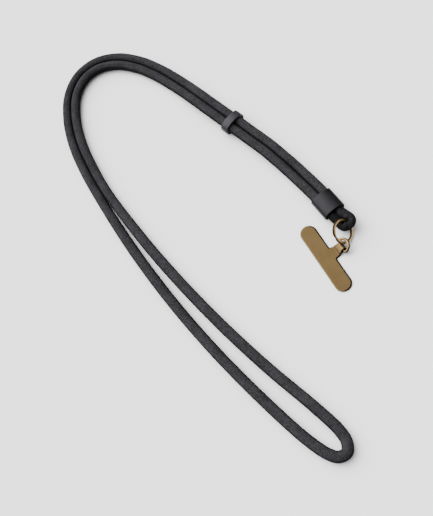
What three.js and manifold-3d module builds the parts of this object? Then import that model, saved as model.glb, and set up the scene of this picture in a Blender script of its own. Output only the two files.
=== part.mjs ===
// A phone crossbody strap lying on a surface: one long soft cord, doubled for part of its run, with a smooth
// sleeve round its two ends, a slider round the doubled stretch, and a cord eye that holds a split ring, a
// D ring and a T-shaped tab that slips inside a phone case. Millimetres, +Z up, the surface at z = 0. The
// origin is the middle of the tab's underside, and +Y runs along the strap, away from its open loop.
import * as THREE from 'three';
import { mergeVertices } from 'three/addons/utils/BufferGeometryUtils.js';
import Module from 'manifold-3d';

const wasm = await Module();
wasm.setup();

// Clearance between neighbouring pieces, and under the rings
const clearance = 0.3;
const floorClearance = 0.05;

// Cord: the two strands press on each other, so each is a little narrower than it is high
const strandWidth = 7.2;
const strandHeight = 8;
const cordSides = 12;

// End sleeve; the corners of its hole and the keeper's follow the strands
const boreCornerRadius = 3.4;
const sleeveLength = 17;
const sleeveWall = 1;
const sleevePlace = [24.3, 31.55];
const sleeveTurn = THREE.MathUtils.degToRad(3);

// Keeper, the slider round both strands
const keeperLength = 6.8;
const keeperWall = 1.9;

// Eye: a loop of thinner cord that leaves the sleeve, sways to one side, bends back and lifts over the
// split ring
const eyeDiameter = 6;
const eyeReach = 11.3;
const eyeBendRadius = 4.37;
const eyeBendPoints = 7;
const eyeSway = 1.18;
const eyeInnerLift = 0.05;
const eyeBendLift = 3.09;
const eyeOuterLift = 2.33;
const eyeSteps = 30;

// Split ring, leaning through the eye: its level side comes through the eye at the given place
const splitRingDiameter = 18.1;
const splitRingWire = 1.9;
const splitRingThread = [26.28, 12.2];
const splitRingLean = THREE.MathUtils.degToRad(46.6);
const splitRingHeading = THREE.MathUtils.degToRad(-47.6);

// D ring in the rolled end of the tab's neck
const dRingWire = 2.1;
const dRingInnerWidth = 7.4;
const dRingSide = 0.15;
const dRingCornerRadius = 1.4;
const dRingLift = THREE.MathUtils.degToRad(35.8);

// Tab
const tabLength = 58;
const tabWidth = 12.6;
const tabThickness = 0.9;
const tabTurn = THREE.MathUtils.degToRad(-2.5);
const neckRootWidth = 9.8;
const neckEndWidth = 7.8;
const neckFillet = 0.8;
const neckCrease = 3.1;
const neckReach = 7.23;
const rollTurn = THREE.MathUtils.degToRad(320);

// Facets: round the wires, and along the two rings
const wireSides = 8;
const ringSteps = 48;

const sleeveColour = 0x39383b;
const cordColour = 0x48464b;
const brassColour = 0x8b734b;

const cordMaterial = new THREE.MeshStandardMaterial({ color: cordColour, roughness: 0.9, metalness: 0 });
const sleeveMaterial = new THREE.MeshStandardMaterial({ color: sleeveColour, roughness: 0.55, metalness: 0 });
const brassMaterial = new THREE.MeshStandardMaterial({ color: brassColour, roughness: 0.4, metalness: 1 });

// Sizes that follow from those above
const strandSpacing = strandWidth + clearance;
const boreWidth = 2 * strandWidth + 3 * clearance;
const boreHeight = strandHeight + 2 * clearance;
const lyingHeight = strandHeight / 2;
const sleeveLift = sleeveWall + clearance;
const keeperLift = keeperWall + clearance;
const tabRollBore = dRingWire / 2 + clearance;
const tabRollRadius = tabRollBore + tabThickness;
const rollHeight = tabRollRadius + floorClearance;
const rollWidth = dRingInnerWidth - 2 * clearance;
const rollPlace = tabWidth / 2 + neckReach;

// The straight run along which the keeper slides
const slideStart = [13.3, 104.2];
const slideEnd = [-2.1, 163.0];

// The route of the doubled stretch, from the middle of the sleeve to where the strands part. Each row is a
// point midway between the strands, x and y, and how far the cord is lifted there.
const sleeveDirection = new THREE.Vector2(-Math.sin(sleeveTurn), Math.cos(sleeveTurn));
const sleeveMouth = new THREE.Vector2(...sleevePlace).addScaledVector(sleeveDirection, sleeveLength / 2);
const doubledRoute = [
  [...sleevePlace, sleeveLift],
  [...sleeveMouth, sleeveLift],
  [22.2, 56.0, 0.4],
  [19.5, 75.5, 0],
  [14.8, 98.2, keeperLift],
  [...slideStart, keeperLift],
  [...slideEnd, keeperLift],
  [-3.8, 169.6, keeperLift],
  [-9.2, 191.0, 0.2],
  [-17.3, 214.5, 0],
  [-26.7, 233.4, 0],
  [-39.4, 248.7, 0],
  [-55.4, 257.0, 0],
  [-71.7, 255.8, 0],
  [-85.9, 245.7, 0],
  [-97.0, 226.9, 0],
  [-104.4, 203.1, 0],
  [-108.0, 176.0, 0],
  [-109.2, 148.0, 0],
];

// The route of the open loop, from the outer strand round the near end to the inner one, flat on the surface
const loopRoute = [
  [-112.9, 112.0],
  [-111.7, 78.0],
  [-108.3, 36.0],
  [-102.3, -8.0],
  [-94.2, -50.0],
  [-84.4, -90.5],
  [-79.4, -105.6],
  [-76.1, -112.8],
  [-71.4, -118.4],
  [-65.2, -119.0],
  [-61.5, -113.5],
  [-61.2, -105.0],
  [-66.0, -83.5],
  [-76.6, -46.2],
  [-85.9, -7.3],
  [-93.8, 34.0],
  [-99.8, 75.0],
  [-103.3, 110.0],
];

// A smooth curve whose steps fall evenly between its points, so that tight bends, where the points are close
// together, get short steps, and the two strands of the doubled stretch step side by side
class RouteCurve extends THREE.CatmullRomCurve3 {
  getUtoTmapping(u) {
    return u;
  }
}

// A geometry with only merged positions, as a closed body needs
function closedBody(geometry) {
  geometry.deleteAttribute('normal');
  geometry.deleteAttribute('uv');
  return mergeVertices(geometry, 1e-4);
}

function toManifold(geometry) {
  const body = closedBody(geometry);
  const vertProperties = new Float32Array(body.attributes.position.array);
  const triVerts = new Uint32Array(body.index.array);
  return new wasm.Manifold(new wasm.Mesh({ numProp: 3, vertProperties, triVerts }));
}

function fromManifold(manifold) {
  const mesh = manifold.getMesh();
  const geometry = new THREE.BufferGeometry();
  geometry.setAttribute('position', new THREE.BufferAttribute(mesh.vertProperties, 3));
  geometry.setIndex(new THREE.BufferAttribute(mesh.triVerts, 1));
  return geometry;
}

function namedMesh(name, geometry, material) {
  const mesh = new THREE.Mesh(geometry, material);
  mesh.name = name;
  return mesh;
}

// A many-sided oval whose flat sides touch the given width and height; x is its height, because a path's
// first normal is vertical
function ovalSection(width, height) {
  const grow = 1 / Math.cos(Math.PI / cordSides);
  const halfHeight = (height / 2) * grow;
  const halfWidth = (width / 2) * grow;
  const points = [];
  for (let i = 0; i < cordSides; i += 1) {
    const angle = ((i + 0.5) * 2 * Math.PI) / cordSides;
    points.push(new THREE.Vector2(halfHeight * Math.cos(angle), halfWidth * Math.sin(angle)));
  }
  return new THREE.Shape(points);
}

// The points of one strand: the doubled route moved sideways, to the right of its direction where offset is
// positive
function strandPoints(offset) {
  return doubledRoute.map(([x, y, lift], i) => {
    const before = doubledRoute[Math.max(i - 1, 0)];
    const after = doubledRoute[Math.min(i + 1, doubledRoute.length - 1)];
    const along = new THREE.Vector2(after[0] - before[0], after[1] - before[1]).normalize();
    return new THREE.Vector3(x + offset * along.y, y - offset * along.x, lyingHeight + lift);
  });
}

function makeStrapCord() {
  const outer = strandPoints(strandSpacing / 2);
  const loop = loopRoute.map(([x, y]) => new THREE.Vector3(x, y, lyingHeight));
  const inner = strandPoints(-strandSpacing / 2).reverse();
  const points = [...outer, ...loop, ...inner];
  const path = new RouteCurve(points);
  const section = ovalSection(strandWidth, strandHeight);
  const settings = { steps: points.length - 1, extrudePath: path };
  return namedMesh('strap_cord', closedBody(new THREE.ExtrudeGeometry(section, settings)), cordMaterial);
}

// A rectangle with round corners, centred on the origin
function roundedRectangle(outline, width, height, radius) {
  const x = width / 2 - radius;
  const y = height / 2 - radius;
  outline.moveTo(-x, -y - radius);
  outline.absarc(x, -y, radius, -Math.PI / 2, 0, false);
  outline.absarc(x, y, radius, 0, Math.PI / 2, false);
  outline.absarc(-x, y, radius, Math.PI / 2, Math.PI, false);
  outline.absarc(-x, -y, radius, Math.PI, 1.5 * Math.PI, false);
  return outline;
}

// A band round both strands, standing on the surface, its hole running along y
function makeBand(name, wall, length) {
  const outline = new THREE.Shape();
  roundedRectangle(outline, boreWidth + 2 * wall, boreHeight + 2 * wall, boreCornerRadius + wall);
  outline.holes.push(roundedRectangle(new THREE.Path(), boreWidth, boreHeight, boreCornerRadius));
  const settings = { depth: length, bevelEnabled: false, curveSegments: 6 };
  const geometry = new THREE.ExtrudeGeometry(outline, settings);
  geometry.translate(0, 0, -length / 2);
  geometry.rotateX(Math.PI / 2);
  geometry.translate(0, 0, boreHeight / 2 + wall);
  return namedMesh(name, closedBody(geometry), sleeveMaterial);
}

function makeSleeve() {
  const sleeve = makeBand('end_sleeve', sleeveWall, sleeveLength);
  sleeve.position.set(sleevePlace[0], sleevePlace[1], 0);
  sleeve.rotation.z = sleeveTurn;
  return sleeve;
}

function makeKeeper() {
  const keeper = makeBand('keeper', keeperWall, keeperLength);
  const start = new THREE.Vector2(...slideStart);
  const end = new THREE.Vector2(...slideEnd);
  const middle = start.clone().lerp(end, 0.5);
  const along = end.clone().sub(start);
  keeper.position.set(middle.x, middle.y, 0);
  keeper.rotation.z = Math.atan2(along.y, along.x) - Math.PI / 2;
  return keeper;
}

// The eye in the sleeve's own axes: x across, y back along the sleeve from its lower mouth, z up. Its ends
// lie in the sleeve, face to face with the ends of the strands.
function makeEye() {
  const height = boreHeight / 2 + sleeveWall;
  const endDepth = sleeveLength / 2 - clearance;
  const innerHeight = height + eyeInnerLift;
  const outerHeight = height + eyeOuterLift;
  const side = strandSpacing / 2;
  const innerX = (eyeSway - side - eyeBendRadius) / 2;
  const outerX = (eyeSway + side + eyeBendRadius) / 2;
  const points = [
    new THREE.Vector3(-side, endDepth, height),
    new THREE.Vector3(-side, 0, height),
    new THREE.Vector3(innerX, -eyeReach / 2, (height + innerHeight) / 2),
  ];
  for (let i = 0; i < eyeBendPoints; i += 1) {
    const angle = (Math.PI * i) / (eyeBendPoints - 1);
    const level = THREE.MathUtils.lerp(innerHeight, outerHeight, (1 - Math.cos(angle)) / 2);
    const hump = (height + eyeBendLift - (innerHeight + outerHeight) / 2) * Math.sin(angle) ** 2;
    const x = eyeSway - eyeBendRadius * Math.cos(angle);
    const y = -eyeReach - eyeBendRadius * Math.sin(angle);
    points.push(new THREE.Vector3(x, y, level + hump));
  }
  points.push(
    new THREE.Vector3(outerX, -eyeReach / 2, (height + outerHeight) / 2),
    new THREE.Vector3(side, 0, height),
    new THREE.Vector3(side, endDepth, height),
  );
  const path = new THREE.CatmullRomCurve3(points);
  const section = ovalSection(eyeDiameter, eyeDiameter);
  const geometry = new THREE.ExtrudeGeometry(section, { steps: eyeSteps, extrudePath: path });
  const eye = namedMesh('end_eye', closedBody(geometry), cordMaterial);
  const mouth = new THREE.Vector2(...sleevePlace).addScaledVector(sleeveDirection, -sleeveLength / 2);
  eye.position.set(mouth.x, mouth.y, 0);
  eye.rotation.z = sleeveTurn;
  return eye;
}

// A round ring of round wire, leaning so that its lowest point just clears the surface
function makeSplitRing() {
  const meanRadius = (splitRingDiameter - splitRingWire) / 2;
  const radius = splitRingWire / 2;
  const profile = [];
  for (let i = 0; i <= wireSides; i += 1) {
    const angle = (2 * Math.PI * i) / wireSides;
    profile.push(new THREE.Vector2(meanRadius + radius * Math.cos(angle), radius * Math.sin(angle)));
  }
  const body = closedBody(new THREE.LatheGeometry(profile, ringSteps));
  const ring = namedMesh('split_ring', body, brassMaterial);
  const height = meanRadius * Math.sin(splitRingLean) + splitRingWire / 2 + floorClearance;
  const axis = new THREE.Vector3().setFromSphericalCoords(1, splitRingLean, 0);
  axis.set(axis.z * Math.cos(splitRingHeading), axis.z * Math.sin(splitRingHeading), axis.y);
  ring.quaternion.setFromUnitVectors(new THREE.Vector3(0, 1, 0), axis);
  const levelX = -meanRadius * Math.sin(splitRingHeading);
  const levelY = meanRadius * Math.cos(splitRingHeading);
  ring.position.set(splitRingThread[0] - levelX, splitRingThread[1] - levelY, height);
  return ring;
}

// The D ring in the tab's own axes: its bar lies in the roll along y, and its bow leaves it upwards
function makeDRing() {
  const half = (dRingInnerWidth + dRingWire) / 2;
  const corner = dRingCornerRadius;
  const outline = new THREE.Path();
  outline.moveTo(0, -half + corner);
  outline.lineTo(0, half - corner);
  outline.absarc(corner, half - corner, corner, Math.PI, Math.PI / 2, true);
  outline.lineTo(corner + dRingSide, half);
  outline.absellipse(corner + dRingSide, 0, half, half, Math.PI / 2, -Math.PI / 2, true);
  outline.lineTo(corner, -half);
  outline.absarc(corner, -half + corner, corner, -Math.PI / 2, -Math.PI, true);
  const points = outline.getSpacedPoints(ringSteps).slice(0, -1);
  const path = new THREE.CatmullRomCurve3(points.map((p) => new THREE.Vector3(p.x, p.y, 0)), true);
  const geometry = new THREE.TubeGeometry(path, ringSteps, dRingWire / 2, wireSides, true);
  geometry.rotateY(-dRingLift);
  geometry.translate(rollPlace, 0, rollHeight);
  return namedMesh('d_ring', closedBody(geometry), brassMaterial);
}

// Side view of the tab, x across the bar and y up: a flat plate, a leaf bent up at the crease, and a roll
// whose bore holds the D ring's bar
function tabProfile() {
  const crease = tabWidth / 2 + neckCrease;
  const toRoll = new THREE.Vector2(rollPlace - crease, rollHeight - tabThickness);
  const slope = toRoll.angle() + Math.asin(tabRollRadius / toRoll.length());
  const crown = slope + Math.PI / 2;
  const rollEnd = crown - rollTurn;
  const across = new THREE.Vector2(Math.cos(crown), Math.sin(crown));
  const outline = new THREE.Shape();
  outline.moveTo(-tabWidth, 0);
  outline.lineTo(-tabWidth, tabThickness);
  outline.lineTo(crease, tabThickness);
  outline.lineTo(rollPlace + tabRollRadius * across.x, rollHeight + tabRollRadius * across.y);
  outline.absarc(rollPlace, rollHeight, tabRollRadius, crown, rollEnd, true);
  outline.lineTo(rollPlace + tabRollBore * Math.cos(rollEnd), rollHeight + tabRollBore * Math.sin(rollEnd));
  outline.absarc(rollPlace, rollHeight, tabRollBore, rollEnd, crown, false);
  outline.lineTo(crease + tabThickness * Math.tan(slope / 2), 0);
  return outline;
}

// Plan of the tab, x across the bar and y along it: the bar with round ends, the tapering neck and the
// narrower roll
function tabPlan() {
  const radius = tabWidth / 2;
  const straight = tabLength / 2 - radius;
  const root = neckRootWidth / 2;
  const end = neckEndWidth / 2;
  const roll = rollWidth / 2;
  const taperEnd = rollPlace - tabRollRadius;
  const outline = new THREE.Shape();
  outline.moveTo(radius, -straight);
  outline.lineTo(radius, -root - neckFillet);
  outline.quadraticCurveTo(radius, -root, radius + neckFillet, -root);
  outline.lineTo(taperEnd, -end);
  outline.lineTo(taperEnd, -roll);
  outline.lineTo(rollPlace + 2 * tabRollRadius, -roll);
  outline.lineTo(rollPlace + 2 * tabRollRadius, roll);
  outline.lineTo(taperEnd, roll);
  outline.lineTo(taperEnd, end);
  outline.lineTo(radius + neckFillet, root);
  outline.quadraticCurveTo(radius, root, radius, root + neckFillet);
  outline.lineTo(radius, straight);
  outline.absarc(0, straight, radius, 0, Math.PI, false);
  outline.lineTo(-radius, -straight);
  outline.absarc(0, -straight, radius, Math.PI, 2 * Math.PI, false);
  return outline;
}

function makeTab() {
  const side = new THREE.ExtrudeGeometry(tabProfile(), { depth: tabLength + 2, bevelEnabled: false });
  side.translate(0, 0, -tabLength / 2 - 1);
  side.rotateX(Math.PI / 2);
  const planDepth = 3 * tabRollRadius + 2;
  const planSettings = { depth: planDepth, bevelEnabled: false, curveSegments: 16 };
  const plan = new THREE.ExtrudeGeometry(tabPlan(), planSettings);
  plan.translate(0, 0, -1);
  const solid = toManifold(side).intersect(toManifold(plan));
  return namedMesh('phone_tab', fromManifold(solid), brassMaterial);
}

const tabGroup = new THREE.Group();
tabGroup.add(makeTab(), makeDRing());
tabGroup.rotation.z = tabTurn;

const strap = new THREE.Group();
strap.add(makeStrapCord(), makeSleeve(), makeKeeper(), makeEye(), makeSplitRing(), tabGroup);

export default strap;
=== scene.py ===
"""A phone crossbody strap on a pale surface: the long knitted cord, the two smooth black bands, the eye of
thin cord, the double-coil split ring, the D ring and the T-shaped tab. Metres, +Z up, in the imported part's
frame."""

import bmesh
import bpy
import numpy as np
from mathutils import Matrix


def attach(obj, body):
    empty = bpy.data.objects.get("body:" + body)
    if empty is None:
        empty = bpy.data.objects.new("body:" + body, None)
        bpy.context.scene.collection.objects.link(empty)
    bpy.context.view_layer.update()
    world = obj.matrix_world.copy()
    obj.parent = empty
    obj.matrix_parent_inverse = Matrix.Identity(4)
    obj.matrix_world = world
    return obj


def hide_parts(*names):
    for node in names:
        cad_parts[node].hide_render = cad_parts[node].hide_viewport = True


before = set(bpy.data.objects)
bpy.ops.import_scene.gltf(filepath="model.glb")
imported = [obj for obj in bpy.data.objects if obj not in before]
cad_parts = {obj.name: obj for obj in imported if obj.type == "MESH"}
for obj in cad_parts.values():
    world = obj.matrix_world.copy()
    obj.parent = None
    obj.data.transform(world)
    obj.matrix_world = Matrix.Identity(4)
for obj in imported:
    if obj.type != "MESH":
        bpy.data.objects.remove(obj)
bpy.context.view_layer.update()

# Sizes that several pieces share
CORD_RADIUS = 0.004
STRAND_SPACING = 0.0075
SLEEVE_MIDDLE = (0.0243, 0.03155)
SLEEVE_MOUTH = (0.02386, 0.04004)
SLEEVE_LENGTH = 0.017
SLEEVE_TURN = np.radians(3.0)
SLEEVE_HEIGHT = 0.0106
SLIDE_START = (0.0133, 0.1042)
SLIDE_END = (-0.0021, 0.1630)
TAB_TURN = np.radians(-2.5)
TAB_THICKNESS = 0.0009
BAR_RADIUS = 0.0063
ROLL_PLACE = 0.01353
ROLL_HEIGHT = 0.0023
ROLL_RADIUS = 0.0018

# Cord route: the points midway between the two strands, with how far the cord's middle is lifted at each
BAND_LIFT = 0.0022
DOUBLED_ROUTE = [
    (*SLEEVE_MIDDLE, 0.0013),
    (*SLEEVE_MOUTH, 0.0013),
    (0.0222, 0.0560, 0.0004),
    (0.0195, 0.0755, 0.0),
    (0.0148, 0.0982, BAND_LIFT),
    (*SLIDE_START, BAND_LIFT),
    (*SLIDE_END, BAND_LIFT),
    (-0.0038, 0.1696, BAND_LIFT),
    (-0.0092, 0.1910, 0.0002),
    (-0.0173, 0.2145, 0.0),
    (-0.0267, 0.2334, 0.0),
    (-0.0394, 0.2487, 0.0),
    (-0.0554, 0.2570, 0.0),
    (-0.0717, 0.2558, 0.0),
    (-0.0859, 0.2457, 0.0),
    (-0.0970, 0.2269, 0.0),
    (-0.1044, 0.2031, 0.0),
    (-0.1080, 0.1760, 0.0),
    (-0.1092, 0.1480, 0.0),
]
LOOP_ROUTE = [
    (-0.1129, 0.1120),
    (-0.1117, 0.0780),
    (-0.1083, 0.0360),
    (-0.1023, -0.0080),
    (-0.0942, -0.0500),
    (-0.0844, -0.0905),
    (-0.0794, -0.1056),
    (-0.0761, -0.1128),
    (-0.0714, -0.1184),
    (-0.0652, -0.1190),
    (-0.0615, -0.1135),
    (-0.0612, -0.1050),
    (-0.0660, -0.0835),
    (-0.0766, -0.0462),
    (-0.0859, -0.0073),
    (-0.0938, 0.0340),
    (-0.0998, 0.0750),
    (-0.1033, 0.1100),
]


# Camera: on the photograph's line of sight, 25 degrees from straight above
def place_camera():
    """The camera's back points from the strap to it, and its right and up are turned about that line, so
    that the strap's length runs from the picture's lower right to its upper left."""
    tilt_cos, tilt_sin = 0.9063, 0.4226
    turn_cos, turn_sin = 0.825, 0.565
    place = (-0.063857, -0.195675, 0.523802)
    camera = bpy.data.objects.new("camera", bpy.data.cameras.new("camera"))
    bpy.context.scene.collection.objects.link(camera)
    camera.data.sensor_fit = "HORIZONTAL"
    camera.data.sensor_width = 36.0
    camera.data.lens = 65.27
    along = np.array([0.0, tilt_cos, tilt_sin])
    across = np.array([1.0, 0.0, 0.0])
    right = turn_cos * across - turn_sin * along
    up = turn_sin * across + turn_cos * along
    back = np.array([0.0, -tilt_sin, tilt_cos])
    turn = Matrix([list(row) for row in np.column_stack([right, up, back])]).to_4x4()
    camera.matrix_world = Matrix.Translation(place) @ turn
    bpy.context.scene.camera = camera


# Shapes
def smooth_line(points, steps):
    """A centripetal Catmull-Rom curve through the points: between two of them a cubic whose slopes come
    from the neighbours, weighted by the square root of the distances, sampled at evenly spaced shares."""
    p = np.vstack([2 * points[0] - points[1], points, 2 * points[-1] - points[-2]])
    gap = np.linalg.norm(np.diff(p, axis=0), axis=1)[:, None] ** 0.5
    d0, d1, d2 = gap[:-2], gap[1:-1], gap[2:]
    p0, p1, p2, p3 = p[:-3], p[1:-2], p[2:-1], p[3:]
    m1 = ((p1 - p0) / d0 - (p2 - p0) / (d0 + d1) + (p2 - p1) / d1) * d1
    m2 = ((p2 - p1) / d1 - (p3 - p1) / (d1 + d2) + (p3 - p2) / d2) * d1
    t = np.linspace(0, 1, steps, endpoint=False)[None, :, None]
    square = -3 * p1 + 3 * p2 - 2 * m1 - m2
    cube = 2 * p1 - 2 * p2 + m1 + m2
    line = p1[:, None] + t * m1[:, None] + t**2 * square[:, None] + t**3 * cube[:, None]
    return np.vstack([line.reshape(-1, 3), points[-1:]])


def even_line(line, spacing):
    """The same line with its points at equal distances along it."""
    along = np.concatenate([[0], np.cumsum(np.linalg.norm(np.diff(line, axis=0), axis=1))])
    places = np.linspace(0, along[-1], int(np.ceil(along[-1] / spacing)) + 1)
    return np.column_stack([np.interp(places, along, line[:, k]) for k in range(3)]), places


def level_frame(line):
    """For each point of a line, the level direction to its right, and the near vertical one square to
    both."""
    along = np.gradient(line, axis=0)
    along /= np.linalg.norm(along, axis=1)[:, None]
    side = np.cross(along, [0.0, 0.0, 1.0])
    side /= np.linalg.norm(side, axis=1)[:, None]
    return side, np.cross(side, along)


def carry(line, side, lift, across, high):
    """A profile carried along a path: point j of row i is line[i] + across[i, j] * side[i] + high[i, j] *
    lift[i]."""
    return line[:, None] + across[..., None] * side[:, None] + high[..., None] * lift[:, None]


def surface(name, grid, material, closed=False, capped=True, marks=None, metres=None):
    """A mesh from a grid of points, rows along and columns around. Columns always join round. Rows join
    round where closed, and otherwise the first and last row each get a flat cap where capped. The UV map
    holds the share of the way round and the metres along. marks is a value for each point, kept as the
    attribute "rim"."""
    rows, columns = grid.shape[:2]
    row = np.arange(rows if closed else rows - 1)[:, None]
    column = np.arange(columns)[None]
    nextrow, nextcolumn = (row + 1) % rows, (column + 1) % columns
    corners = [(row, column), (row, nextcolumn), (nextrow, nextcolumn), (nextrow, column)]
    quads = np.stack([r * columns + c for r, c in corners], axis=-1).reshape(-1, 4)
    if metres is None:
        step = np.linalg.norm(np.diff(grid, axis=0, append=grid[:1]), axis=2).mean(axis=1)
        metres = np.concatenate([[0], np.cumsum(step)])
    rowmetres = np.asarray(metres)
    around = np.stack(np.broadcast_arrays(column, column + 1, column + 1, column), axis=-1) / columns
    along = np.stack(np.broadcast_arrays(row, row, row + 1, row + 1), axis=-1)
    along = rowmetres[np.minimum(along, len(rowmetres) - 1)]
    around = np.broadcast_to(around, (row.size, columns, 4)).reshape(-1, 4)
    along = np.broadcast_to(along, (row.size, columns, 4)).reshape(-1, 4)
    uv = np.stack([around, along], axis=-1)
    points = grid.reshape(-1, 3)
    a, b, c, d = (points[quads[:, k]] for k in range(4))
    volume = np.einsum("ij,ij->i", a, np.cross(b, c) + np.cross(c, d)).sum()
    faces = [list(f) for f in quads.tolist()]
    caps = []
    if capped and not closed:
        caps = [list(range(columns))[::-1], list(range((rows - 1) * columns, rows * columns))]
    if volume < 0:
        faces = [f[::-1] for f in faces]
        uv = uv[:, ::-1]
        caps = [f[::-1] for f in caps]
    capuv = np.zeros((len(caps) * columns, 2))
    mesh = bpy.data.meshes.new(name)
    mesh.from_pydata(points.tolist(), [], faces + caps)
    layer = mesh.uv_layers.new(name="UVMap")
    layer.data.foreach_set("uv", np.vstack([uv.reshape(-1, 2), capuv]).astype(np.float32).ravel())
    if marks is not None:
        rim = mesh.attributes.new("rim", "FLOAT", "POINT")
        rim.data.foreach_set("value", np.asarray(marks, np.float32).ravel())
    mesh.shade_smooth()
    mesh.materials.append(material)
    mesh.update()
    piece = bpy.data.objects.new(name, mesh)
    bpy.context.scene.collection.objects.link(piece)
    return piece


def weld(piece, distance):
    """Joins points that lie on each other, as where a face shrinks to a line."""
    body = bmesh.new()
    body.from_mesh(piece.data)
    bmesh.ops.remove_doubles(body, verts=body.verts, dist=distance)
    body.to_mesh(piece.data)
    body.free()


def ellipse(half_across, half_high, sides):
    """Round sections, one row for each pair of half sizes: across = a cos t, high = b sin t."""
    t = np.linspace(0, 2 * np.pi, sides, endpoint=False)
    return np.outer(half_across, np.cos(t)), np.outer(half_high, np.sin(t))


# Shader maths
class Shade:
    """One socket of a material's nodes. Python's operators add Math nodes, and node() adds any other."""

    def __init__(self, tree, socket=None):
        self.tree = tree
        self.socket = socket

    def node(self, kind, settings=None, sockets=None, out=0):
        """Adds a node, sets its settings and the values or links of its sockets, and returns one output."""
        new = self.tree.nodes.new(kind)
        for name, value in (settings or {}).items():
            setattr(new, name, value)
        for name, value in (sockets or {}).items():
            if isinstance(value, Shade):
                self.tree.links.new(value.socket, new.inputs[name])
            else:
                new.inputs[name].default_value = value
        return Shade(self.tree, new.outputs[out])

    def math(self, operation, *others):
        return self.node("ShaderNodeMath", {"operation": operation}, dict(enumerate((self, *others))))

    def __add__(self, other):
        return self.math("ADD", other)

    __radd__ = __add__

    def __mul__(self, other):
        return self.math("MULTIPLY", other)

    __rmul__ = __mul__

    def __sub__(self, other):
        return self.math("SUBTRACT", other)

    def __rsub__(self, other):
        return self.node("ShaderNodeMath", {"operation": "SUBTRACT"}, {0: other, 1: self})

    def __pow__(self, other):
        return self.math("POWER", other)

    def fraction(self):
        return self.math("FRACT")

    def size(self):
        return self.math("ABSOLUTE")

    def least(self, other):
        return self.math("MINIMUM", other)

    def most(self, other):
        return self.math("MAXIMUM", other)

    def span(self, low, high):
        """0 below low, 1 above high, and a smooth step between."""
        settings = {"interpolation_type": "SMOOTHSTEP"}
        sockets = {"Value": self, "From Min": low, "From Max": high}
        return self.node("ShaderNodeMapRange", settings, sockets)

    def blend(self, dark, light):
        """The colour dark where this value is 0 and light where it is 1."""
        factor, first, second, colour_out = 0, 6, 7, 2
        sockets = {factor: self, first: as_colour(dark), second: as_colour(light)}
        return self.node("ShaderNodeMix", {"data_type": "RGBA"}, sockets, colour_out)

    def noise(self, scale, detail=2.0, roughness=0.5):
        """Noise of that many spots a metre, read at this vector."""
        sockets = {"Vector": self, "Scale": scale, "Detail": detail, "Roughness": roughness}
        return self.node("ShaderNodeTexNoise", None, sockets)

    def part(self, axis):
        """One part of this vector: 0 is its x or the share round, and 1 its y or the metres along."""
        return self.node("ShaderNodeSeparateXYZ", None, {0: self}, axis)

    def stretched(self, scale):
        """This vector times scale, axis by axis."""
        return self.node("ShaderNodeMapping", None, {"Vector": self, "Scale": scale})

    def from_top(self):
        """How far round a carried section this UV place is from its upper side: 0 there, 0.5 below."""
        return ((self.part(0) + 0.25).fraction() - 0.5).size()

    def bump(self, distance, strength=1.0):
        """A normal bent by this height, which reaches from 0 to distance in metres."""
        sockets = {"Height": self, "Distance": distance, "Strength": strength}
        return self.node("ShaderNodeBump", None, sockets)


def as_colour(value):
    return value if isinstance(value, Shade) else (*value, 1.0)


def finish(name):
    """A new material, its Principled shader, and Shades on the piece's Object coordinates and UV map."""
    material = bpy.data.materials.new(name)
    material.use_nodes = True
    tree = material.node_tree
    shader = tree.nodes["Principled BSDF"]
    start = Shade(tree)
    object_out = 3
    place = start.node("ShaderNodeTexCoord", None, None, object_out)
    cloth = start.node("ShaderNodeUVMap", {"uv_map": "UVMap"})
    return material, shader, place, cloth


def feed(shader, **links):
    """Links values to the shader's sockets, whose names are given with _ for a space."""
    for name, value in links.items():
        value.tree.links.new(value.socket, shader.inputs[name.replace("_", " ")])


def set_shader(shader, **values):
    for name, value in values.items():
        shader.inputs[name.replace("_", " ")].default_value = value


# Materials
def knitted_cotton():
    """Fine charcoal knit: V-shaped stitches in 30 columns round the cord, each 0.9 mm high, in mixed dark
    yarns, with painted shade darkening the cord's sides."""
    material, shader, place, cloth = finish("knitted_cotton")
    columns, rows = 30.0, 1 / 0.0009
    around = cloth.part(0) * columns
    along = cloth.part(1) * rows
    within = (around.fraction() - 0.5).size()
    slant = (along + within * 1.1).fraction()
    stitch = (slant * (1 - slant) * 4) ** 0.7
    leg = 1 - ((within - 0.27) * 3.4).size() ** 1.5
    yarn = (stitch * leg).most(0.0)
    flecks = place.noise(1000.0, 3.0, 0.65)
    patches = place.noise(110.0, 2.0, 0.5)
    tone = (yarn * 0.25 + flecks.span(0.34, 0.66) * 0.55 + patches.span(0.3, 0.7) * 0.15).least(1.0)
    # Painted shade: the lit colour is blended towards near black round the cord's sides, away from its top.
    flank_shade = cloth.from_top().span(0.11, 0.185)
    lit = tone.blend((0.0020, 0.0019, 0.0023), (0.0405, 0.0385, 0.0428))
    feed(shader, Base_Color=(flank_shade * 0.75).blend(lit, (0.0020, 0.0019, 0.0022)))
    height = yarn * 0.7 + flecks * 0.6
    feed(shader, Normal=height.bump(0.00016))
    feed(shader, Roughness=0.78 + flecks * 0.18)
    set_shader(shader, Specular_IOR_Level=0.05)
    return material


def soft_leather(name, dark, light, shine):
    """Smooth black band: a fine grain, faint clouding and a slightly polished outside."""
    material, shader, place, _ = finish(name)
    grain = place.noise(2600.0, 2.0, 0.5)
    clouds = place.noise(220.0, 2.0, 0.5)
    feed(shader, Base_Color=(clouds.span(0.3, 0.7) * 0.6 + grain * 0.4).blend(dark, light))
    feed(shader, Roughness=0.3 + clouds.span(0.35, 0.65) * 0.08)
    feed(shader, Normal=grain.bump(0.00003, 0.6))
    cool = (0.96, 0.91, 1.0, 1.0)
    set_shader(shader, Specular_IOR_Level=shine, Specular_Tint=cool)
    return material


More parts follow.
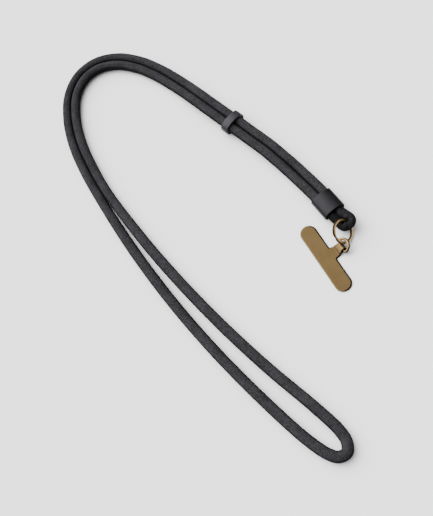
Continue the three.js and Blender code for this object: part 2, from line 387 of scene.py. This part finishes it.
def eye_cord():
    """The eye's thin cord: a tight smooth cover, near black, with faint mottling and shallow dents, and
    painted shade on its sides. A painted highlight makes it lighter from its middle to its second end."""
    material, shader, place, cloth = finish("eye_cord")
    mottle = place.noise(900.0, 3.0, 0.6)
    clouds = place.noise(260.0, 1.0, 0.5)
    # Painted highlight: the leg from the middle to the second end is painted lighter.
    painted_highlight = cloth.part(1).span(0.016, 0.034)
    tone = (mottle.span(0.35, 0.7) * 0.5 + clouds.span(0.4, 0.65) * 0.5) * (painted_highlight * 0.8 + 0.2)
    # Painted shade on the cord's sides, as on the knitted cord.
    flank_shade = cloth.from_top().span(0.12, 0.25)
    lit = tone.blend((0.0010, 0.0010, 0.0012), (0.017, 0.0164, 0.0182))
    feed(shader, Base_Color=(flank_shade * 0.8).blend(lit, (0.0008, 0.0008, 0.0009)))
    feed(shader, Roughness=0.55 + mottle * 0.2)
    feed(shader, Normal=(mottle * 0.6 + clouds).bump(0.00012))
    set_shader(shader, Specular_IOR_Level=0.045)
    return material


def polished_brass(name, dark, light, crown, reach):
    """Antique brass wire with fine scratches. A painted highlight runs along its upper side, as far round
    as reach, and painted shade makes it brown below."""
    material, shader, place, cloth = finish(name)
    patina_and_shade = place.noise(420.0, 3.0, 0.6)
    scratches = place.stretched((9000.0, 1200.0, 5000.0)).noise(1.0, 2.0, 0.6)
    # The noise makes the edge of the painted highlight and painted shade wobble.
    from_top = cloth.from_top() + (patina_and_shade - 0.5) * 0.14
    # Painted shade: dark below, light round the sides.
    body = (1 - from_top.span(reach, reach + 0.05)).blend(dark, light)
    # Painted highlight: the crown colour along the wire's top.
    feed(shader, Base_Color=(1 - from_top.span(0.0, reach)).blend(body, crown))
    feed(shader, Roughness=0.22 + patina_and_shade * 0.1 + scratches * 0.06)
    feed(shader, Normal=scratches.bump(0.000012, 0.5))
    set_shader(shader, Metallic=1.0)
    return material


def satin_brass():
    """The tab's plate: satin antique brass, faintly brushed along its length. Its rims have a painted
    highlight on the left and a painted shadow on the right. Its bent leaf has a painted highlight up to
    the roll, over which it is painted darker again."""
    material, shader, place, _ = finish("satin_brass")
    brushed = place.stretched((7000.0, 260.0, 3000.0)).noise(1.0, 3.0, 0.6)
    clouds = place.noise(90.0, 2.0, 0.5)
    value_out = 2
    rim = place.node("ShaderNodeAttribute", {"attribute_name": "rim"}, None, value_out)
    tone = brushed * 0.35 + clouds.span(0.3, 0.7) * 0.65
    face = tone.blend((0.051, 0.0342, 0.0147), (0.061, 0.0410, 0.0180))
    from_bar = place.part(0)
    # Painted highlight on the bent leaf, which tilts towards the light.
    face = from_bar.span(0.0094, 0.0106).blend(face, (0.25, 0.166, 0.071))
    # Painted shade: over the roll the leaf is painted darker again.
    face = from_bar.span(0.0118, 0.0128).blend(face, (0.10, 0.064, 0.027))
    # Painted shadow along the rims that face right.
    shaded = rim.most(0.0).span(0.1, 0.5).blend(face, (0.004, 0.0025, 0.0015))
    # Painted highlight along the rims that face left.
    painted_highlight = ((rim * -1).most(0.0) * (0.5 + brushed * 0.6)).least(1.0)
    feed(shader, Base_Color=painted_highlight.blend(shaded, (0.12, 0.085, 0.042)))
    feed(shader, Roughness=0.42 + brushed * 0.1)
    feed(shader, Normal=brushed.bump(0.000012, 0.6))
    set_shader(shader, Metallic=1.0)
    return material


# Cord
def strand(offset):
    """The doubled route moved sideways by offset, to the right of its direction where it is positive."""
    route = np.array(DOUBLED_ROUTE)
    ahead = np.vstack([route[1:], route[-1:]]) - np.vstack([route[:1], route[:-1]])
    ahead = ahead[:, :2] / np.linalg.norm(ahead[:, :2], axis=1)[:, None]
    beside = np.column_stack([ahead[:, 1], -ahead[:, 0]])
    return np.column_stack([route[:, :2] + offset * beside, CORD_RADIUS + route[:, 2]])


def make_cord(material):
    """One tube along the whole cord. Its section is an ellipse 8 mm high. It is 8.2 mm wide in the open
    loop, pressed narrower where the two strands run side by side, and a little lower where it is lifted
    into a band."""
    loop_half_width, widening, pinch, pinch_lift = 0.0041, 0.06, 0.00036, 0.0012
    loop = np.column_stack([np.array(LOOP_ROUTE), np.full(len(LOOP_ROUTE), CORD_RADIUS)])
    outer = strand(STRAND_SPACING / 2)
    inner = strand(-STRAND_SPACING / 2)[::-1]
    steps = 60
    drawn = smooth_line(np.vstack([outer, loop, inner]), steps)
    along = np.concatenate([[0], np.cumsum(np.linalg.norm(np.diff(drawn, axis=0), axis=1))])
    parting, meeting = along[steps * (len(outer) - 1)], along[steps * (len(outer) + len(loop))]
    line, places = even_line(drawn, spacing=0.0011)
    share = np.clip(np.minimum(places - parting, meeting - places) / widening, 0, 1)
    share = share * share * (3 - 2 * share)
    half = STRAND_SPACING / 2 * (1 - share) + loop_half_width * share
    side, lift = level_frame(line)
    pinched = CORD_RADIUS - pinch * np.clip((line[:, 2] - CORD_RADIUS) / pinch_lift, 0, 1)
    across, high = ellipse(half, pinched, sides=40)
    piece = surface("strap_cord_knit", carry(line, side, lift, across, high), material, metres=places)
    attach(piece, "strap")
    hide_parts("strap_cord")


# Bands: the sleeve and the keeper
def band(name, node, body, material, middle, turn, length, width, height, corner, wall, round_rim):
    """A band round both strands: a crowned outline, for each angle a corner's arc plus a clipped share of
    the straight sides, times the section of its wall, a rectangle with round corners that runs along the
    band. The clipped share is the angle's cosine and sine times a steepness: near 1 for a crown, and higher
    for a flat side."""
    crown_steepness, wall_steepness = 1.3, 6
    t = np.linspace(0, 2 * np.pi, 96, endpoint=False)
    lean = np.array([np.cos(t), np.sin(t)])
    straight = np.array([[width / 2 - corner], [height / 2 - corner]])
    outline = np.clip(lean * crown_steepness, -1, 1) * straight + corner * lean
    t = np.linspace(0, 2 * np.pi, 40, endpoint=False)
    wall_lean = np.array([np.cos(t), np.sin(t)])
    box = np.array([[wall / 2 - round_rim], [length / 2 - round_rim]])
    section = np.clip(wall_lean * wall_steepness, -1, 1) * box
    section += round_rim * wall_lean
    out, along = section[0] - wall / 2, section[1]
    x = outline[0][:, None] + lean[0][:, None] * out[None]
    z = outline[1][:, None] + lean[1][:, None] * out[None] + height / 2
    y = np.broadcast_to(along[None], x.shape)
    placed = np.stack([
        middle[0] + x * np.cos(turn) - y * np.sin(turn),
        middle[1] + x * np.sin(turn) + y * np.cos(turn),
        z,
    ], axis=-1)
    piece = surface(name, placed, material, closed=True)
    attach(piece, body)
    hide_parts(node)


def make_sleeve(material):
    band(
        "sleeve_band",
        "end_sleeve",
        "strap",
        material,
        middle=SLEEVE_MIDDLE,
        turn=SLEEVE_TURN,
        length=SLEEVE_LENGTH,
        width=0.0175,
        height=SLEEVE_HEIGHT,
        corner=0.0053,
        wall=0.0010,
        round_rim=0.0004,
    )


def make_keeper(material):
    """The keeper's band, halfway along the straight run of the doubled cord."""
    start, end = np.array(SLIDE_START), np.array(SLIDE_END)
    along = end - start
    band(
        "keeper_band",
        "keeper",
        "keeper",
        material,
        middle=(start + end) / 2,
        turn=np.arctan2(along[1], along[0]) - np.pi / 2,
        length=0.0068,
        width=0.0193,
        height=0.0124,
        corner=0.0060,
        wall=0.0019,
        round_rim=0.0006,
    )


# Eye
def make_eye(material):
    """The eye's cord, an oval tube along a curve that leaves the sleeve, sways, bends back and lifts over
    the ring. Its two legs press on each other, so that their section is moved and widened towards the
    eye's middle."""
    reach, bend, sway, height = 0.0113, 0.00437, 0.00118, SLEEVE_HEIGHT / 2
    near, over, far = height + 0.00005, height + 0.00309, height + 0.00233
    half, radius, from_sleeve_end = STRAND_SPACING / 2, 0.0030, 0.0003
    a = np.linspace(0, np.pi, 7)
    level = near + (far - near) * (1 - np.cos(a)) / 2 + (over - (near + far) / 2) * np.sin(a) ** 2
    turn = np.column_stack([sway - bend * np.cos(a), -reach - bend * np.sin(a), level])
    end = SLEEVE_LENGTH / 2 - from_sleeve_end
    before_bend = ((sway - half - bend) / 2, -reach / 2, (height + near) / 2)
    after_bend = ((sway + half + bend) / 2, -reach / 2, (height + far) / 2)
    first_leg = [(-half, end, height), (-half, 0, height), before_bend]
    second_leg = [after_bend, (half, 0, height), (half, end, height)]
    local = smooth_line(np.vstack([first_leg, turn, second_leg]), steps=24)
    along = np.array([-np.sin(SLEEVE_TURN), np.cos(SLEEVE_TURN)])
    across = np.array([np.cos(SLEEVE_TURN), np.sin(SLEEVE_TURN)])
    mouth = np.array(SLEEVE_MIDDLE) - SLEEVE_LENGTH / 2 * along
    flat = mouth + local[:, :1] * across + local[:, 1:2] * along
    line, places = even_line(np.column_stack([flat, local[:, 2]]), spacing=0.0004)
    side, lift = level_frame(line)
    from_middle = np.abs(places / places[-1] - 0.5)
    leg_from, sleeve_from, blend = 0.13, 0.30, 0.06
    leg = np.clip((from_middle - leg_from) / blend, 0, 1)
    press = leg * (0.0007 - 0.0003 * np.clip((from_middle - sleeve_from) / blend, 0, 1))
    across, high = ellipse(radius + press, np.full(len(line), radius), sides=40)
    grid = carry(line - press[:, None] * side, side, lift, across, high)
    piece = surface("eye_loop", grid, material, metres=places)
    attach(piece, "strap")
    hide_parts("end_eye")


# Rings
def make_split_ring(material):
    """A double coil: a wire that goes twice round the leaning ring, its section a rectangle with round
    corners. Its offset along the ring's axis steps over by one wire where the coil crosses from its first
    turn to its second."""
    lean, heading = np.radians(46.6), np.radians(-47.6)
    radius, wire, corner, hair, steepness = 0.0081, 0.0020, 0.0005, 0.00002, 4
    in_eye = (0.02628, 0.0122)
    axis = np.array([np.sin(lean) * np.cos(heading), np.sin(lean) * np.sin(heading), np.cos(lean)])
    level = np.array([-np.sin(heading), np.cos(heading), 0.0])
    uphill = np.cross(axis, level)
    slant = np.sin(lean) + np.cos(lean)
    height = radius * np.sin(lean) + wire / 2 * slant - corner * (slant - 1) + hair
    centre = np.array([*in_eye, height]) - radius * level
    start, end = np.radians(150.0), 3.94 * np.pi
    cross_from, cross_over = 1.86 * np.pi, 0.22 * np.pi
    t = np.linspace(0, end, 400)
    crossing = np.clip((t - cross_from) / cross_over, 0, 1)
    offset = wire / 4 * (2 * crossing * crossing * (3 - 2 * crossing) - 1)
    out = np.cos(t + start)[:, None] * level + np.sin(t + start)[:, None] * uphill
    line = centre + radius * out + offset[:, None] * axis
    s = np.linspace(0, 2 * np.pi, 20, endpoint=False)
    taper_over, thinnest = 0.10, 0.35
    taper = np.clip(np.minimum(t, end - t) / taper_over, thinnest, 1)[:, None]
    across = np.clip(np.cos(s) * steepness, -1, 1) * (wire / 2 - corner) + corner * np.cos(s)
    high = np.clip(np.sin(s) * steepness, -1, 1) * (wire / 4 - hair - corner) + corner * np.sin(s)
    axes = np.broadcast_to(axis, line.shape)
    grid = carry(line, out, axes, across * taper, high * np.ones_like(taper))
    piece = surface("split_ring_coil", grid, material)
    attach(piece, "strap")
    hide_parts("split_ring")


def turned_with_tab(points):
    """Points in the tab's own axes, turned about the origin as the tab lies."""
    x, y, z = np.moveaxis(points, -1, 0)
    return np.stack([
        x * np.cos(TAB_TURN) - y * np.sin(TAB_TURN),
        x * np.sin(TAB_TURN) + y * np.cos(TAB_TURN),
        z,
    ], axis=-1)


def make_d_ring(material):
    """A round wire carried round a D: a bar, two round corners, two short sides and a half circle for the
    bow."""
    half, corner, side, wire_radius = 0.00475, 0.0014, 0.00015, 0.00105
    bar = np.linspace(-(half - corner), half - corner, 24, endpoint=False)
    quarter = np.linspace(0, np.pi / 2, 12, endpoint=False)
    bow = np.linspace(np.pi / 2, -np.pi / 2, 72, endpoint=False)
    pieces = [
        np.column_stack([0 * bar, bar]),
        np.column_stack([corner - corner * np.cos(quarter), half - corner + corner * np.sin(quarter)]),
        np.column_stack([corner + side + half * np.cos(bow), half * np.sin(bow)]),
        np.column_stack([corner - corner * np.sin(quarter), -half + corner - corner * np.cos(quarter)]),
    ]
    flat = np.vstack(pieces)
    along = np.roll(flat, -1, axis=0) - np.roll(flat, 1, axis=0)
    along /= np.linalg.norm(along, axis=1)[:, None]
    lift = np.radians(35.8)
    outward = np.column_stack([along[:, 1], -along[:, 0]])
    rise = np.array([[np.cos(lift), 0, np.sin(lift)], [0, 1, 0]])
    line = flat @ rise + [ROLL_PLACE, 0, ROLL_HEIGHT]
    side_way = outward @ rise
    normal = np.broadcast_to([-np.sin(lift), 0, np.cos(lift)], line.shape)
    wire = np.full(len(line), wire_radius)
    grid = turned_with_tab(carry(line, side_way, normal, *ellipse(wire, wire, sides=24)))
    piece = surface("d_ring_wire", grid, material, closed=True)
    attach(piece, "strap")
    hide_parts("d_ring")


# Tab
def neck_line():
    """The middle line of the bent neck: level to the crease, round a soft bend, up a straight leaf tangent
    to the roll, and 320 degrees round the roll. Gives the distances along it, x, z and the slope at each,
    and the length in all."""
    crease, bend = 0.0094, 0.0021
    to_roll = np.array([ROLL_PLACE - crease, ROLL_HEIGHT - TAB_THICKNESS / 2])
    span = np.hypot(*to_roll)
    slope = np.arctan2(to_roll[1], to_roll[0]) + np.arcsin(ROLL_RADIUS / span)
    cut = bend * np.tan(slope / 2)
    first = crease - cut
    leaf = first + bend * slope + np.sqrt(span**2 - ROLL_RADIUS**2) - cut
    end = leaf + ROLL_RADIUS * np.radians(320)
    s = np.linspace(0, end, 4000)
    angle = slope * np.clip((s - first) / (bend * slope), 0, 1) - np.maximum(s - leaf, 0) / ROLL_RADIUS
    step = s[1]
    x = np.concatenate([[0], np.cumsum(np.cos(angle[:-1])) * step])
    z = np.concatenate([[0], np.cumsum(np.sin(angle[:-1])) * step]) + TAB_THICKNESS / 2
    return s, x, z, angle, end


def tab_outline(reach):
    """The flat outline of the tab's strip, before its neck is bent, as it goes round from the bar's right
    side, and for each point the place on the strip's middle lines that the faces shrink to. The neck tapers
    from its root's half width to its end's, and steps in to the roll's before the D ring."""
    straight, root, fillet, end, roll = 0.0227, 0.0049, 0.0008, 0.0039, 0.0034
    taper, roll_from, roll_step = 0.0049, 0.0124, 0.0008
    side = np.linspace(straight, root + fillet, 40, endpoint=False)
    turn = np.linspace(0, 1, 17)[:-1]
    neck = np.linspace(0, 1, 150, endpoint=False)
    edge_x = BAR_RADIUS + fillet + neck * (reach - BAR_RADIUS - fillet)
    edge_y = root + (end - root) * np.clip((edge_x - edge_x[0]) / taper, 0, 1)
    edge_y += (roll - end) * np.clip((edge_x - roll_from) / roll_step, 0, 1)
    turn_x = np.clip(2 * turn - 1, 0, 1) * edge_x[0]
    turn_y = np.clip(1 - 2 * turn, 0, 1) * (root + fillet)
    upper = np.vstack([
        np.column_stack([0 * side + BAR_RADIUS, side]),
        np.column_stack([BAR_RADIUS + fillet * turn**2, root + fillet * (1 - turn) ** 2]),
        np.column_stack([edge_x, edge_y]),
    ])
    upper_middle = np.vstack([
        np.column_stack([0 * side, side]),
        np.column_stack([turn_x, turn_y]),
        np.column_stack([edge_x, 0 * edge_x]),
    ])
    tip = np.linspace(1, -1, 12)[:, None] * [[0, roll]] + [[reach, 0]]
    cap = np.linspace(0, np.pi, 48, endpoint=False)
    cap_points = BAR_RADIUS * np.column_stack([np.cos(cap), -np.sin(cap)])
    back_y = np.concatenate([-side, -turn_y[:9], turn_y[:8][::-1], side[::-1]])
    outline = np.vstack([
        upper,
        tip,
        upper[:0:-1] * [1, -1],
        cap_points - [0, straight],
        np.column_stack([0 * back_y - BAR_RADIUS, back_y]),
        [0, straight] - cap_points,
    ])
    middle = np.vstack([
        upper_middle,
        0 * tip + [[reach, 0]],
        upper_middle[:0:-1] * [1, -1],
        0 * cap_points - [0, straight],
        np.column_stack([0 * back_y, back_y]),
        0 * cap_points + [0, straight],
    ])
    return outline, middle


def make_tab(material):
    """A plate with soft rims. Each ring of the grid is the outline drawn in towards the strip's middle
    lines, by the depth of a round rim's profile and then further over the two faces, and the whole strip is
    bent at its neck. The marks are 1 along rims that face right, a painted shadow up to 1 mm in, and -1
    along rims that face left, a painted highlight."""
    s, neck_x, neck_z, neck_angle, reach = neck_line()
    outline, middle = tab_outline(reach)
    inward = middle - outline
    depth = np.maximum(np.linalg.norm(inward, axis=1), 1e-7)
    rim, half = 0.00032, TAB_THICKNESS / 2
    to_middle = 0.1
    over_face = [0.0009, 0.0011, 0.0016, 0.0032, to_middle]
    a = np.linspace(0, np.pi / 2, 6)
    drawn = np.concatenate([rim * (1 - np.cos(a)), over_face])
    level = np.concatenate([half - rim + rim * np.sin(a), np.full(len(over_face), half)])
    drawn = np.concatenate([drawn[::-1], drawn])
    level = np.concatenate([-level[::-1], level])
    # The rings that the painted shadow and the painted highlight reach.
    patina_and_shade = (drawn < 0.0010).astype(float)[:, None]
    painted_highlight = (drawn < 0.0005).astype(float)[:, None]
    flat = outline + inward * np.minimum(drawn[:, None] / depth, 1)[..., None]
    x = np.where(flat[..., 0] > 0, np.interp(flat[..., 0], s, neck_x), flat[..., 0])
    z = np.interp(flat[..., 0], s, neck_z)
    angle = np.interp(flat[..., 0], s, neck_angle)
    grid = np.stack([
        x - level[:, None] * np.sin(angle),
        flat[..., 1],
        z + level[:, None] * np.cos(angle),
    ], axis=-1)
    right, steepness = np.array([0.85, -0.5]), 1.6
    facing = steepness * (-inward @ right) / depth
    # Painted shadow on rims that face right, painted highlight on rims that face left.
    marks = np.clip(facing, 0, 1) * patina_and_shade + np.clip(facing, -1, 0) * painted_highlight
    piece = surface("tab_plate", turned_with_tab(grid), material, capped=False, marks=marks)
    weld(piece, distance=2e-6)
    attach(piece, "strap")
    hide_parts("phone_tab")


# Floor and light
def make_floor():
    """A level square sheet, a hair under the strap, in plain pale grey with faint unevenness."""
    reach, level = 3, -0.0001
    material, shader, place, _ = finish("pale_paper")
    clouds = place.noise(6.0, 2.0, 0.5)
    feed(shader, Base_Color=clouds.blend((0.80, 0.80, 0.80), (0.81, 0.81, 0.81)))
    set_shader(shader, Roughness=0.9, Specular_IOR_Level=0.1)
    mesh = bpy.data.meshes.new("floor")
    signs = [(-1, -1), (1, -1), (1, 1), (-1, 1)]
    mesh.from_pydata([(x * reach, y * reach, level) for x, y in signs], [], [(0, 1, 2, 3)])
    mesh.materials.append(material)
    floor = bpy.data.objects.new("floor", mesh)
    bpy.context.scene.collection.objects.link(floor)


def light_scene():
    """A pale sky, with a broad bright lobe towards the photograph's upper left: 0.45 + 12.4 times the fifth
    power of the cosine of the angle from the lobe's middle."""
    world = bpy.data.worlds.new("studio")
    world.use_nodes = True
    bpy.context.scene.world = world
    sky = Shade(world.node_tree)
    towards = np.array([-0.35, 0.8, 1.0])
    towards /= np.linalg.norm(towards)
    direction = sky.node("ShaderNodeTexCoord")
    dot = {"operation": "DOT_PRODUCT"}
    value_out = 1
    lobe = direction.node("ShaderNodeVectorMath", dot, {0: direction, 1: towards}, value_out)
    strength = 0.45 + 12.4 * lobe.most(0.0) ** 5
    background = world.node_tree.nodes["Background"]
    world.node_tree.links.new(strength.socket, background.inputs["Strength"])
    background.inputs["Color"].default_value = (1.0, 1.0, 1.0, 1.0)


place_camera()
make_cord(knitted_cotton())
black_leather = soft_leather(
    "black_leather",
    dark=(0.0012, 0.0011, 0.0014),
    light=(0.0034, 0.0032, 0.0038),
    shine=0.13,
)
keeper_leather = soft_leather(
    "keeper_leather",
    dark=(0.0055, 0.0052, 0.0062),
    light=(0.0125, 0.0118, 0.0138),
    shine=0.16,
)
# In both brass copies, crown is a painted highlight and dark a painted shade.
ring_brass = polished_brass(
    "ring_brass",
    dark=(0.007, 0.004, 0.0018),
    light=(0.16, 0.095, 0.036),
    crown=(0.62, 0.43, 0.21),
    reach=0.085,
)
# The D ring's copy has a dimmer painted highlight and darker sides than the split ring's.
d_ring_brass = polished_brass(
    "d_ring_brass",
    dark=(0.007, 0.004, 0.0018),
    light=(0.10, 0.059, 0.022),
    crown=(0.33, 0.215, 0.095),
    reach=0.085,
)
make_sleeve(black_leather)
make_keeper(keeper_leather)
make_eye(eye_cord())
make_split_ring(ring_brass)
make_d_ring(d_ring_brass)
make_tab(satin_brass())
make_floor()
light_scene()
